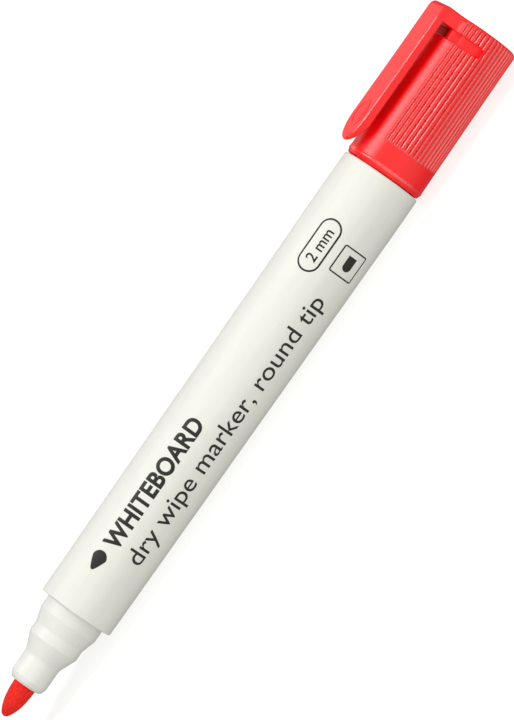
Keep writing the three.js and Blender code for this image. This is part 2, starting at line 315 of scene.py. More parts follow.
MAT_WHITE = plastic("white_pp", (0.800, 0.800, 0.755), (0.835, 0.835, 0.790), rough=(0.44, 0.50), spec=0.27, grain=0.3, wave=0.12,
                    sss=0.12, sss_radius=(1.0, 1.0, 0.85), sss_scale=0.0012)
MAT_NOSE = plastic("nose_pp", (0.815, 0.815, 0.780), (0.85, 0.85, 0.82), rough=(0.34, 0.42), spec=0.27, grain=0.2, wave=0.06,
                   sss=0.12, sss_radius=(1.0, 0.95, 0.8), sss_scale=0.0016)
RED = dict(sss=0.15, sss_radius=(1.0, 0.10, 0.08), sss_scale=0.0022)
# the emission in these reds is painted light that keeps the red bright in shade
SKIN = dict(rough=(0.32, 0.38), spec=0.55, grain=0.75, wave=0.04, painted_glow=0.11)
MAT_RED = plastic("red_pp", (0.90, 0.0035, 0.006), (0.97, 0.006, 0.009), **SKIN, **RED)
# the cap's red, with painted shade below the clip and in the slot
MAT_CAP_PAINTED_SHADE = plastic("red_pp_cap_painted_shade", (0.90, 0.0035, 0.006), (0.97, 0.006, 0.009), lit=cap_lit, **SKIN, **RED)
MAT_EDGE = plastic("red_pp_edge", (0.90, 0.006, 0.009), (0.97, 0.010, 0.013), rough=(0.26, 0.30), spec=1.0, grain=0.05, wave=0.0, painted_glow=0.10, ior=1.70, **RED)
# the darker red of the groove bottoms is painted shade, on a polished finish
MAT_GROOVE_PAINTED_SHADE = plastic("red_pp_groove_painted_shade", (0.56, 0.004, 0.007), (0.64, 0.008, 0.011), rough=(0.26, 0.30), spec=1.0, grain=0.05, wave=0.0, painted_glow=0.02, ior=1.70, **RED)
# the dark red of the cap's inner faces and the opening below the clip is painted shade
MAT_RED_IN_PAINTED_SHADE = plastic("red_pp_inside_painted_shade", (0.20, 0.002, 0.003), (0.26, 0.003, 0.004), rough=(0.40, 0.47), spec=0.3, grain=0.2, wave=0.04)
MAT_SEAL = plastic("seal_pe", (0.72, 0.012, 0.014), (0.82, 0.02, 0.022), rough=(0.42, 0.5), grain=0.2, wave=0.2)


def nib_fibre():
    """Bonded polyester fibre soaked in red ink: fibres along the nib, pale fibre ends, darker where it is wet and worn."""
    m, nt, b = new_material("nib_fibre")
    along = mm_coords(nt, (0.16, 1, 1))
    strands = noise_tex(nt, along, 7.0, 5, 0.7)
    blotch = noise_tex(nt, mm_coords(nt, (0.6, 1, 1)), 1.3, 4, 0.6)
    base = ramp(nt, strands, [(0.30, (0.50, 0.003, 0.002)), (0.46, (0.84, 0.012, 0.007)), (0.60, (0.95, 0.024, 0.012)),
                              (0.76, (0.98, 0.22, 0.14))])
    wet = ramp(nt, blotch, [(0.30, (0.74, 0.5, 0.5)), (0.55, (1, 1, 1))])
    mix = nt.nodes.new("ShaderNodeMix")
    mix.data_type = "RGBA"
    mix.blend_type = "MULTIPLY"
    mix.inputs["Factor"].default_value = 0.8
    nt.links.new(base, mix.inputs["A"])
    nt.links.new(wet, mix.inputs["B"])
    nt.links.new(mix.outputs["Result"], b.inputs["Base Color"])
    nt.links.new(to_range(nt, blotch, 0.62, 0.92, 0.35, 0.65), b.inputs["Roughness"])
    add_bumps(nt, b, [(strands, 0.9, 0.00006), (noise_tex(nt, mm_coords(nt, (0.4, 1, 1)), 16.0, 3, 0.7), 0.6, 0.00002)])
    b.inputs["Specular IOR Level"].default_value = 0.25
    # painted light: a faint red emission on the nib
    b.inputs["Emission Color"].default_value = (1.0, 0.010, 0.010, 1)
    b.inputs["Emission Strength"].default_value = 0.06
    b.inputs["Sheen Weight"].default_value = 0.05
    b.inputs["Sheen Roughness"].default_value = 0.6
    return m


def print_ink():
    """Pad-printed dark grey ink: slightly mottled, with a faint pinhole texture."""
    m, nt, b = new_material("print_ink")
    v = mm_coords(nt)
    n = noise_tex(nt, v, 3.2, 4, 0.65)
    col = ramp(nt, n, [(0.32, (0.012, 0.012, 0.011)), (0.70, (0.026, 0.026, 0.023))])
    nt.links.new(col, b.inputs["Base Color"])
    nt.links.new(to_range(nt, n, 0.38, 0.5, 0.3, 0.7), b.inputs["Roughness"])
    add_bumps(nt, b, [(noise_tex(nt, v, 14.0, 2, 0.6), 0.2, 0.000008)])
    b.inputs["Specular IOR Level"].default_value = 0.3
    return m


def fibre_core():
    """The reservoir's bundle of crimped fibres, soaked with ink."""
    m, nt, b = new_material("ink_core")
    n = noise_tex(nt, mm_coords(nt, (0.08, 1, 1)), 4.5, 5, 0.7)
    col = ramp(nt, n, [(0.3, (0.30, 0.004, 0.006)), (0.55, (0.52, 0.012, 0.014)), (0.8, (0.70, 0.06, 0.05))])
    nt.links.new(col, b.inputs["Base Color"])
    b.inputs["Roughness"].default_value = 0.9
    add_bumps(nt, b, [(n, 0.8, 0.00008)])
    return m


def film():
    """Clear wrapping film, faintly stained by the ink."""
    m, nt, b = new_material("wrap_film")
    n = noise_tex(nt, mm_coords(nt, (0.2, 1, 1)), 0.8, 3, 0.6)
    col = ramp(nt, n, [(0.3, (0.80, 0.62, 0.60)), (0.7, (0.90, 0.84, 0.82))])
    nt.links.new(col, b.inputs["Base Color"])
    nt.links.new(to_range(nt, n, 0.18, 0.3, 0.3, 0.7), b.inputs["Roughness"])
    add_bumps(nt, b, [(n, 0.3, 0.0001)])
    return m


MAT_NIB, MAT_INK, MAT_CORE, MAT_FILM = nib_fibre(), print_ink(), fibre_core(), film()


def finish_piece(ob, mat, body, node=None):
    ob.data.materials.clear()
    ob.data.materials.append(mat)
    if body:
        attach(ob, body)
    if node:
        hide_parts(node)
    return ob


# ---------------------------------------------------------------- barrel
BARREL_TABLE = np.array([[23.0, 7.44], [26, 7.475], [37, 7.54], [55, 7.64], [74, 7.73], [92, 7.83], [108, 7.93], [112, 7.95], [120, 7.95]])


def barrel_r(s):
    return np.interp(s, BARREL_TABLE[:, 0], BARREL_TABLE[:, 1])


prof = [(S_BARREL0, 5.97, 0.0), (S_BARREL0, 6.6, 0), (S_BARREL0, float(barrel_r(23.0)), 0.28)]
prof += [(s, float(barrel_r(s)), 0) for s in (26, 31.5, 37, 46, 55, 64.5, 74, 83, 92, 100, 108, 112, 116)]
prof += [(S_BARREL1 + 0.25, 7.93, 0.40), (S_BARREL1 + 0.25, 6.72, 0.08), (S_BARREL0 + 1.2, 6.42, 0.1), (S_BARREL0 + 1.2, 5.97, 0)]
prof = fill_long(rounded(prof, 9), 2.5)
barrel = revolve("barrel_tube", prof, n=256, closed=True)
finish_piece(barrel, MAT_WHITE, "barrel", "barrel")

# ---------------------------------------------------------------- front section
prof = [(6.85, 2.30, 0), (6.85, 2.92, 0.14), (7.25, 3.33, 0.35), (8.15, 3.67, 0.9), (12.35, 3.67, 2.0), (15.75, 5.09, 0.22), (17.75, 5.09, 1.0),
        (20.5, 5.91, 0.22), (24.25, 5.91, 0), (24.25, 6.34, 0.05), (31.0, 6.34, 0.2), (31.0, 5.2, 0.1), (22.5, 4.5, 0.3), (20.0, 2.30, 0.3), (6.85, 2.30, 0)]
prof = rounded([(6.95, 2.30, 0)] + [(6.85, 2.40, 0)] + prof[1:-1] + [(6.95, 2.30, 0)], 9)[:-1]
front = revolve("front_nose", fill_long(prof, 1.2), n=224, closed=True)
finish_piece(front, MAT_NOSE, "barrel", "front_section")

# ---------------------------------------------------------------- nib
NIB = np.array([[0, 0], [0.02, 0.18], [0.07, 0.34], [0.16, 0.50], [0.30, 0.66], [0.52, 0.84], [0.85, 1.03], [1.27, 1.24], [1.76, 1.44],
                [2.2, 1.60], [2.67, 1.74], [3.2, 1.87], [3.8, 1.98], [4.6, 2.09], [5.6, 2.17], [6.6, 2.21], [7.4, 2.23]])
dense = []
for a, b in zip(NIB[:-1], NIB[1:]):
    k = max(1, int(math.ceil(np.hypot(*(b - a)) / 0.09)))
    for j in range(k):
        dense.append(a + (b - a) * j / k)
prof = [tuple(p) for p in dense] + [(7.6, 2.235), (20, 2.24), (36.0, 2.24), (38.2, 1.1), (38.2, 0)]
rng = np.random.default_rng(7)
_k = rng.integers(9, 70, 26)
_ph = rng.uniform(0, 2 * math.pi, 26)
_f = rng.uniform(0.2, 1.3, 26)
_pf = rng.uniform(0, 2 * math.pi, 26)


def nib_shape(S, R, T):
    """Fibre bundles stand a few hundredths of a millimetre proud, and the bullet end is a little uneven."""
    w = np.zeros_like(R)
    for k, ph, f, pf in zip(_k, _ph, _f, _pf):
        w += np.cos(k * T + ph + 0.7 * np.sin(f * S + pf)) * (0.6 + 0.4 * np.sin(f * 1.7 * S + ph))
    w /= math.sqrt(len(_k)) * 0.9
    amp = 0.020 * smooth(0.15, 1.2, R) * (1 - smooth(6.4, 7.0, S))
    lump = 0.035 * np.sin(2 * T + 0.8) * smooth(0.0, 1.0, S) * (1 - smooth(2.2, 4.5, S))
    return np.maximum(R + amp * w + lump * np.minimum(R, 1), 0)


nib = revolve("nib_bullet", prof, n=240, shape=nib_shape, angle=60)
finish_piece(nib, MAT_NIB, "barrel", "nib")

# ---------------------------------------------------------------- reservoir, film and end plug
_rl, _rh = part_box("ink_reservoir")
r0, r1 = (_rl.x - X0) * 1000, (_rh.x - X0) * 1000
prof = fill_long(rounded([(38.6, 0, 0), (38.6, 2.3, 0.1), (r0, 2.3, 0.1), (r0, 5.52, 0.4), (r1, 5.52, 0.4), (r1, 0, 0)], 5), 2.0)
core = revolve("reservoir_core", prof, n=160, shape=lambda S, R, T: R + np.where(R > 4, 0.02 * np.cos(40 * T + np.sin(S * 0.35)), 0), angle=50)
finish_piece(core, MAT_CORE, "barrel", "ink_reservoir")
prof = fill_long(rounded([(r0, 5.60, 0), (r0, 5.72, 0.03), (r1, 5.72, 0.03), (r1, 5.60, 0.03)], 3, 0.02), 2.0)
wrap = revolve("reservoir_film", prof, n=160, closed=True, shape=lambda S, R, T: R + 0.012 * smooth(3.0, 3.02, T) * (1 - smooth(3.5, 3.52, T)))
finish_piece(wrap, MAT_FILM, "barrel", "reservoir_wrap")

_pl, _ph2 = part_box("end_plug")
p0, p1 = (_pl.x - X0) * 1000, (_ph2.x - X0) * 1000
prof = [(p0, 5.6, 0), (p0, 6.4, 0.15), (p0 + 0.8, 6.6, 0.3), (S_BARREL1, 6.64, 0.02), (S_BARREL1 + 0.02, 5.9, 0.1), (p1 - 4.2, 5.9, 0), (p1 - 3.9, 5.94, 0.3), (p1 - 3.3, 5.94, 0.3),
        (p1 - 3.0, 5.9, 0), (p1 - 0.8, 5.9, 0.5), (p1, 5.0, 0.35), (p1, 0, 0), (p1 - 1.0, 0, 0), (p1 - 1.0, 4.9, 0.4), (S_BARREL1 - 1.5, 4.9, 0.4), (S_BARREL1 - 2.2, 5.6, 0.3), (p0, 5.6, 0)]
rp = rounded(prof, 6)
i_a = next(i for i, q in enumerate(rp) if q[1] == 0)
plug_prof = rp[i_a + 1:-1] + rp[:i_a + 1]
plug = revolve("end_plug_red", fill_long(plug_prof, 1.5), n=192)
finish_piece(plug, MAT_RED, "barrel", "end_plug")

# ---------------------------------------------------------------- cap
CLIP_W, CLIP_OUT, CLIP_T, CLIP_F = 6.4, 10.56, 1.62, 0.26
CLIP_IN = CLIP_OUT - CLIP_T
ROOT = 149.1
GROOVE_FIRST, PITCH, G_DEPTH, G_HALF = 43.2, 7.2, 0.30, 0.32
SLOT_S, SLOT_H, SLOT_D, SLOT_ANGLE = 148.0, 1.12, 0.62, 85.0
CAP_TABLE = np.array([[121.25, 7.885], [121.6, 7.883], [123.5, 7.86], [126.5, 7.82], [132, 7.75], [139, 7.665], [147, 7.60], [153, 7.60]])


def cap_r(s):
    return np.interp(s, CAP_TABLE[:, 0], CAP_TABLE[:, 1])


# half of the bridge's outline, from the clip's middle down its side and along the flare to the cap: [y, z]
half = [(y, CLIP_OUT) for y in np.linspace(0, CLIP_W / 2 - CLIP_F - 0.06, 10)]
half += [(CLIP_W / 2 - CLIP_F + CLIP_F * math.sin(a), CLIP_OUT - CLIP_F + CLIP_F * math.cos(a)) for a in np.linspace(0, math.pi / 2, 8)]
n_top = len(half)
half += [(CLIP_W / 2, z) for z in (CLIP_OUT - CLIP_F - 0.06, 9.9, 9.5, 9.1, CLIP_IN)]
n_wall = len(half)
TH_B = math.radians(36)
b0, b1 = np.array([CLIP_W / 2, CLIP_IN]), np.array([CLIP_W / 2, 7.75])
b3 = np.array([7.6 * math.sin(TH_B), 7.6 * math.cos(TH_B)])
b2 = b3 - 0.95 * np.array([math.cos(TH_B), -math.sin(TH_B)])
for t in np.linspace(0, 1, 18)[1:]:
    q = (1 - t) ** 3 * b0 + 3 * (1 - t) ** 2 * t * b1 + 3 * (1 - t) * t * t * b2 + t ** 3 * b3
    half.append((float(q[0]), float(q[1])))
half = np.array(half)
n_half = len(half)
hn = np.gradient(half, axis=0)
hn = np.stack([-hn[:, 1], hn[:, 0]], 1)
hn /= np.linalg.norm(hn, axis=1)[:, None]  # inward normals of the outline going clockwise
if hn[-1] @ half[-1] > 0:
    hn = -hn
bridge_th = np.arctan2(half[:, 0], half[:, 1])

cyl = [37.0, 38.3, 39.4]
cols = [math.degrees(t) for t in bridge_th] + cyl
offs = [0.22, 0.42, 0.66, 1.0, 1.36, 1.72, 2.05, 2.42]
offs = [-o for o in reversed(offs)] + [0] + offs
n_g = int(round((360 - 2 * GROOVE_FIRST) / PITCH)) + 1
for k in range(n_g):
    c = GROOVE_FIRST + k * PITCH
    cols += [c + o for o in offs]
cols += [360 - c for c in reversed(cyl)] + [360 - math.degrees(t) for t in bridge_th[:0:-1]]
for base in (74.0, 272.5):  # finer columns at the slot's rounded ends
    for c in np.arange(base, base + 13.5, 0.25):
        if min(abs(c - q) for q in cols) > 0.1:
            cols.append(float(c))
cols.sort()
TH = np.radians(np.array(cols))
NC = len(TH)
is_b = np.zeros(NC, bool)
B_out = np.zeros((NC, 2))
B_in = np.zeros((NC, 2))
b_index = np.full(NC, -1)
for i in range(n_half):
    is_b[i] = True
    B_out[i], B_in[i], b_index[i] = half[i], hn[i], i
    if i > 0:
        j = NC - i
        is_b[j] = True
        B_out[j], B_in[j], b_index[j] = half[i] * (-1, 1), hn[i] * (-1, 1), i
deg = np.degrees(TH)
near = np.minimum(np.abs((deg - GROOVE_FIRST + PITCH / 2) % PITCH - PITCH / 2), 99)
in_grooves = (deg > GROOVE_FIRST - PITCH / 2) & (deg < 360 - GROOVE_FIRST + PITCH / 2)
u_mm = np.where(in_grooves, near, 99) * math.pi / 180 * 7.72
x_g = (np.sqrt(u_mm ** 2 + 0.035 ** 2) - 0.035) / G_HALF
G = np.clip(1 - x_g, 0, 1) ** 1.65
G = np.clip(G / G.max(), 0, 1)
signed = np.where(deg > 180, deg - 360, deg)


def slot_mask(s):
    u = np.abs(np.radians(signed)) * 7.6
    c = math.radians(SLOT_ANGLE) * 7.6 - SLOT_H
    d = np.hypot(np.maximum(u - c, 0), s - SLOT_S) - SLOT_H
    return smooth(-0.02, 0.15, -d)


def circle(s, r):
    r = np.broadcast_to(r, (NC,))
    return np.stack([np.full(NC, s), -r * np.sin(TH), r * np.cos(TH)], 1)


loops, tags = [], []


def add(loop, tag=""):
    loops.append(loop)
    tags.append(tag)


# end face, from its middle outwards, with a slightly dished middle and the gate mark that moulding leaves
end_rho = np.where(is_b, 0.0, 0.9)
v_in = np.zeros((NC, 2))
for i in range(NC):
    if not is_b[i]:
        v_in[i] = -0.9 * np.array([math.sin(TH[i]), math.cos(TH[i])])
        end_rho[i] = 0.9
    else:
        k = b_index[i]
        sgn = 1 if B_out[i, 0] >= 0 else -1
        if k < n_top:
            fr = np.clip((abs(B_out[i, 0]) - (CLIP_W / 2 - CLIP_F)) / CLIP_F, 0, 1)
            v_in[i] = (-0.12 * sgn * fr, -1.25)
            end_rho[i] = 1.3
        elif k < n_wall:
            w = (B_out[i, 1] - CLIP_IN) / (CLIP_OUT - CLIP_F - CLIP_IN)
            v_in[i] = (-0.12 * sgn, -1.25 * w)
            end_rho[i] = 0.35 + 0.95 * w
        else:
            w = (k - n_wall + 1) / (n_half - n_wall)
            amt = 0.12 + 0.78 * smooth(0, 1, w)
            v_in[i] = B_in[i] * amt
            end_rho[i] = 0.35 + 0.55 * smooth(0, 1, w)
B_full = np.where(is_b[:, None], B_out, 7.60 * np.stack([np.sin(TH), np.cos(TH)], 1))


def b_loop(s, inset, groove):
    """A loop of the end band. s, inset and groove are arrays over the columns."""
    yz = B_full + v_in * np.asarray(inset)[:, None]
    r = np.linalg.norm(yz, axis=1)
    yz = yz * ((r - np.where(is_b, 0, G_DEPTH * G * groove)) / r)[:, None]
    return np.stack([s, -yz[:, 0], yz[:, 1]], 1)


ones = np.ones(NC)
edge = b_loop(ones * S_END, ones, ones * 0)
centre = np.array([S_END, 0.0, 0.0])


def disc(scale, ds=0.0):
    lp = edge * scale + centre * (1 - scale)
    lp[:, 0] = S_END + ds
    return lp


for sc, ds in ((0.0, -0.10), (0.03, -0.10), (0.06, -0.12), (0.09, -0.16), (0.11, -0.16), (0.14, -0.15), (0.30, -0.15), (0.46, -0.15), (0.475, -0.145), (0.49, -0.11),
               (0.505, -0.04), (0.52, -0.008), (0.535, 0), (0.7, 0), (0.9, 0), (0.985, 0)):
    add(disc(sc, ds))
q_steps = np.linspace(1, 0, 10)
for q in q_steps:
    a = q * math.pi / 2
    s = S_END - end_rho + end_rho * math.sin(a)
    add(b_loop(s, ones * (1 - math.cos(a)), ones * (1 - q) ** 0.5))
for g in (0.92, 0.75, 0.55, 0.35, 0.18, 0.08):
    s = ROOT + g * (S_END - end_rho - ROOT)
    add(b_loop(s, ones * 0, ones))
# bridge's underside wall and the slot's upper edge
lo = b_loop(ones * ROOT, ones * 0, ones)
flare = is_b & (b_index >= n_wall)
lo[flare] = np.stack([np.full(flare.sum(), ROOT), -(B_out[flare, 0] + 0.07 * B_in[flare, 0]), B_out[flare, 1] + 0.07 * B_in[flare, 1]], 1)
top_mask = slot_mask(ROOT)
for arr, s in ((lo, ROOT),):
    add(arr, "root")


def body_loop(s, groove=1.0, force=False):
    m = slot_mask(s)
    if force:
        m = np.where(is_b, 1.0, m)
    deep = SLOT_D + 1.23 * smooth(26, 40, np.abs(signed))  # shallower below the bridge, which it helps to carry
    r = cap_r(s) - G_DEPTH * G * groove * (1 - m) - deep * m
    return circle(s, r)


for s in (149.03, 148.98, 148.92, 148.85, 148.76, 148.65):
    add(body_loop(s, force=s > 148.9), "slot_hi" if s == 148.85 else "slot")
for s in np.arange(148.52, 147.4, -0.14):
    add(body_loop(float(s)), "slot")
for s in (147.35, 147.24, 147.15, 147.08, 147.02, 146.97, 146.92, 146.87, 146.80, 146.70):
    add(body_loop(s), "slot_lo" if s == 147.15 else "slot")
for s in (146.3, 145, 143, 140, 137, 134, 131, 128.5, 127):
    add(body_loop(s))
for s in np.arange(126.6, 125.2, -0.1):
    add(body_loop(float(s), groove=float(smooth(125.55, 126.25, s)) ** 0.6))
for s in (125.0, 124.0, 122.8, 122.0, 121.75, 121.62):
    add(body_loop(s, 0))
for s, r in ((121.54, 7.886), (121.49, 7.896), (121.44, 7.914), (121.37, 7.946), (121.32, 7.962), (121.26, 7.968), (121.20, 7.960), (121.15, 7.944), (121.10, 7.922), (120.95, 7.855), (120.70, 7.76), (120.50, 7.685),
             (120.40, 7.64), (120.34, 7.595), (120.30, 7.53), (120.30, 7.40), (120.30, 7.12), (120.33, 7.02), (120.42, 6.92), (120.55, 6.83), (120.72, 6.77)):
    add(circle(s, r))


# inside: the bore with six gripping ribs
def bore_r(s):
    return 6.75 + (6.35 - 6.75) * (s - 120.3) / (149.5 - 120.3)


rib_near = np.abs((deg - 30 + 30) % 60 - 30)  # ribs at 30, 90, ... degrees
rib = smooth(0.0, 0.16, 0.55 - rib_near * math.pi / 180 * 6.0 + 0.08)
for s, h in ((121.15, 0), (121.25, 0.15), (121.4, 0.5), (121.6, 0.85), (121.9, 1), (123, 1), (126, 1), (129.5, 1), (130.1, 0.95), (130.3, 0.7), (130.4, 0.3), (130.5, 0),
             (131, 0), (136, 0), (142, 0), (146.0, 0), (146.3, 0)):
    add(circle(s, bore_r(s) - h * rib * (bore_r(s) - 5.965)))
NECK = 5.30  # the bore is narrower behind the slot
for s, r in ((146.38, 6.30), (146.42, 6.1), (146.43, 5.6), (146.46, 5.38), (146.56, NECK)):
    add(circle(s, r))
add(circle(147.15, NECK), "in_lo")
add(circle(148.0, NECK), "in")
add(circle(148.85, NECK), "in_hi")
for s, r in ((149.3, NECK), (149.45, 5.22), (149.5, 5.05), (149.5, 4.0), (149.5, 2.5), (149.55, 2.45), (150.7, 2.45), (150.7, 1.2), (150.7, 0.0)):
    add(circle(s, r))

NL = len(loops)
V = np.array(loops).reshape(-1, 3)
i_hi, i_lo = tags.index("slot_hi"), tags.index("slot_lo")
j_lo, j_hi = tags.index("in_lo"), tags.index("in_hi")
open_half = n_wall - 3  # columns either side of the middle that the opening below the clip takes in
in_open = set(range(0, open_half)) | set(range(NC - open_half, NC))
F = []
for i in range(NL - 1):
    for j in range(NC):
        k = (j + 1) % NC
        if j in in_open and k in (in_open | {open_half}) and (i_hi <= i < i_lo or j_lo <= i < j_hi):
            continue
        F.append((i * NC + j, i * NC + k, (i + 1) * NC + k, (i + 1) * NC + j))


def vid(i, j):
    return i * NC + (j % NC)


# walls of the opening: its upper and lower edges, and its two sides
jl = [(NC - open_half + t) % NC for t in range(2 * open_half + 1)]
for a, b in zip(jl[:-1], jl[1:]):
    F.append((vid(i_hi, a), vid(i_hi, b), vid(j_hi, b), vid(j_hi, a)))
    F.append((vid(i_lo, a), vid(i_lo, b), vid(j_lo, b), vid(j_lo, a)))
outer_rows = list(range(i_hi, i_lo + 1))
inner_rows = list(range(j_hi, j_lo - 1, -1))
for col in (jl[0], jl[-1]):
    F.append([vid(i, col) for i in outer_rows] + [vid(i, col) for i in reversed(inner_rows)])
cap = make("cap_body", V, F, angle=40, weld=1e-7)
finish_piece(cap, MAT_CAP_PAINTED_SHADE, "cap", "cap_shell")
cap.data.materials.append(MAT_GROOVE_PAINTED_SHADE)
cap.data.materials.append(MAT_RED_IN_PAINTED_SHADE)
cap.data.materials.append(MAT_EDGE)
_pitch = math.radians(PITCH)
for poly in cap.data.polygons:  # the grooves' walls and the rim's edge are polished, the skin between them is satin; the groove bottoms are painted a darker red and the inner faces a dark red, both painted shade
    c = poly.center
    s_mm, ang = (c.x - X0) * 1000, math.atan2(abs(c.y), c.z - AXIS)
    off = abs((ang - math.radians(GROOVE_FIRST) + _pitch / 2) % _pitch - _pitch / 2)
    r_mm = 1000 * math.hypot(c.y, c.z - AXIS)
    groove_wall = ang > math.radians(GROOVE_FIRST - 2.6) and off < math.radians(2.45) and 125.6 < s_mm and r_mm > 7.25
    if r_mm < (5.55 if 146.7 < s_mm < 149.2 else 6.86) and s_mm < 151.5:
        poly.material_index = 2
    elif groove_wall or (120.9 < s_mm < 121.52 and r_mm > 7.8):
        poly.material_index = 1 if groove_wall and off < math.radians(1.1) else 3

# ---------------------------------------------------------------- inner seal
_sl, _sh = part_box("inner_seal")
q0, q1 = (_sl.x - X0) * 1000, (_sh.x - X0) * 1000
prof = [(q1, 0, 0), (q1, 2.4, 0.15), (146.6, 2.4, 0.3), (146.6, 3.8, 0.3), (146.0, 4.6, 0.4), (q0 + 0.6, 4.6, 0.3), (q0, 4.35, 0.15), (q0, 4.1, 0.12), (q0 + 0.6, 3.74, 0.3),
        (q0 + 1.3, 3.70, 0.2), (q0 + 2.0, 3.74, 0.3), (145.0, 3.72, 0.5), (145.0, 0, 0)]
seal = revolve("inner_seal_cup", fill_long(rounded(prof, 6), 1.5), n=160)
finish_piece(seal, MAT_SEAL, "cap", "inner_seal")

# ---------------------------------------------------------------- pocket clip
TIP, TIP_A = 121.5, 5.4
rows = []
for ph in np.concatenate([np.linspace(0, math.pi / 2, 30)]):
    n = np.array([-math.cos(ph) / TIP_A, math.sin(ph) / (CLIP_W / 2)])
    rows.append((TIP + TIP_A - TIP_A * math.cos(ph), CLIP_W / 2 * math.sin(ph), *(n / np.linalg.norm(n))))
for s in list(np.arange(127.05, 131.0, 0.15)) + list(np.arange(131.4, 144.6, 0.8)) + list(np.arange(144.6, ROOT - 0.05, 0.22)) + [ROOT]:
    rows.append((s, CLIP_W / 2, 0.0, 1.0))


def z_top(s):
    return CLIP_OUT + 0.15 * (1 - smooth(121.5, 142.0, s))


def z_bot(s):
    return CLIP_IN + 1.12 * (np.clip((126.6 - np.asarray(s, float)) / 5.1, 0, 1)) ** 2.0


BOSS = (127.2, 2.85, 2.05)


def boss(s, y):
    """A plain raised oval with a flat ring round it."""
    d = np.hypot((s - BOSS[0]) / BOSS[1], y / BOSS[2])
    ring = smooth(0.80, 0.88, d) * (1 - smooth(0.94, 1.02, d))
    dome = 1 - smooth(0.50, 0.64, d)
    return 0.085 * ring + 0.055 * dome


NT, NF, NS, NB = 40, 6, 5, 14
clip_rings = []
for s0, w, nx, ny in rows:
    t = float(z_top(s0) - z_bot(s0))
    f = min(CLIP_F, 0.42 * t)
    ring = []
    across = np.linspace(-1, 1, NT + 1)
    s_in = s0 - f * nx
    w_in = max(w - f * ny, 0)
    for a in across:  # outer face, left to right
        y = a * w_in
        ring.append((s_in, y, float(z_top(s_in) + boss(s_in, y))))
    for k in range(1, NF + 1):  # upper right edge
        a = k / NF * math.pi / 2
        d = f * math.sin(a)
        ring.append((s_in + d * nx, w_in + d * ny if w > 0 else 0, float(z_top(s_in)) - f + f * math.cos(a)))
    zt, zb = float(z_top(s_in)) - f, float(z_bot(s_in)) + f
    for k in range(1, NS):
        ring.append((s0, w, zt + (zb - zt) * k / NS))
    for k in range(0, NF + 1):
        a = k / NF * math.pi / 2
        d = f * math.cos(a)
        ring.append((s_in + d * nx, w_in + d * ny if w > 0 else 0, zb - f * math.sin(a)))
    for a in np.linspace(1, -1, NB + 1)[1:]:  # underside, right to left
        ring.append((s_in, a * w_in, float(z_bot(s_in))))
    for k in range(NF - 1, -1, -1):
        a = k / NF * math.pi / 2
        d = f * math.cos(a)
        ring.append((s_in + d * nx, -(w_in + d * ny) if w > 0 else 0, zb - f * math.sin(a)))
    for k in range(NS - 1, 0, -1):
        ring.append((s0, -w, zt + (zb - zt) * k / NS))
    for k in range(NF, 0, -1):
        a = k / NF * math.pi / 2
        d = f * math.sin(a)
        ring.append((s_in + d * nx, -(w_in + d * ny) if w > 0 else 0, float(z_top(s_in)) - f + f * math.cos(a)))
    clip_rings.append(ring)
M = len(clip_rings[0])
Vc = np.array(clip_rings).reshape(-1, 3)
Fc = []
for i in range(len(clip_rings) - 1):
    for j in range(M):
        k = (j + 1) % M
        Fc.append((i * M + j, i * M + k, (i + 1) * M + k, (i + 1) * M + j))
last = (len(clip_rings) - 1) * M
Fc.append([last + j for j in range(M)])
clip = make("clip_arm", Vc, Fc, angle=40, weld=5e-7)
finish_piece(clip, MAT_RED, None, None)
tuple(world([ROOT, 0, 9.7]))
tuple(world([ROOT - 4.5, 0, 9.7]))
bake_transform(clip)
clip.data.materials.append(MAT_EDGE)
for poly in clip.data.polygons:  # the polished edge round the outer face
    z_mm = (poly.center.z - AXIS) * 1000
    if 0.15 < poly.normal.z < 0.985 and CLIP_OUT - CLIP_F - 0.02 < z_mm < float(z_top((poly.center.x - X0) * 1000)) - 0.012:
        poly.material_index = 1
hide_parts("pocket_clip")


# ---------------------------------------------------------------- print on the barrel
INK_H, INK_IN = 0.014, 0.05


def wrap_point(s, a, th0, h):
    """A point of the print: s along the axis, a millimetres up from the angle th0 (towards the clip), h above the skin."""
    r = float(barrel_r(s))
    th = th0 - a / r
    return (s, -(r + h) * math.sin(th), (r + h) * math.cos(th))


def decal_from_bmesh(name, bm, s0, th0, step=0.22):
    """bm holds closed flat shapes in the plane, x along the axis and y up, z above 0 for the outer side: cut into strips and wrapped on."""
    ys = [v.co.y for v in bm.verts]
    y = min(ys) + step
    while y < max(ys):
        bmesh.ops.bisect_plane(bm, geom=bm.verts[:] + bm.edges[:] + bm.faces[:], plane_co=(0, y, 0), plane_no=(0, 1, 0), dist=1e-6)
        y += step
    for v in bm.verts:
        v.co = Vector(world(wrap_point(s0 + v.co.x, v.co.y, th0, INK_H if v.co.z > 0 else -INK_IN)))
    bmesh.ops.recalc_face_normals(bm, faces=bm.faces)
    me = bpy.data.meshes.new(name)
    bm.to_mesh(me)
    bm.free()
    me.shade_smooth()
    me.set_sharp_from_angle(angle=math.radians(30))
    ob = bpy.data.objects.new(name, me)
    bpy.context.scene.collection.objects.link(ob)
    finish_piece(ob, MAT_INK, "barrel")
    return ob


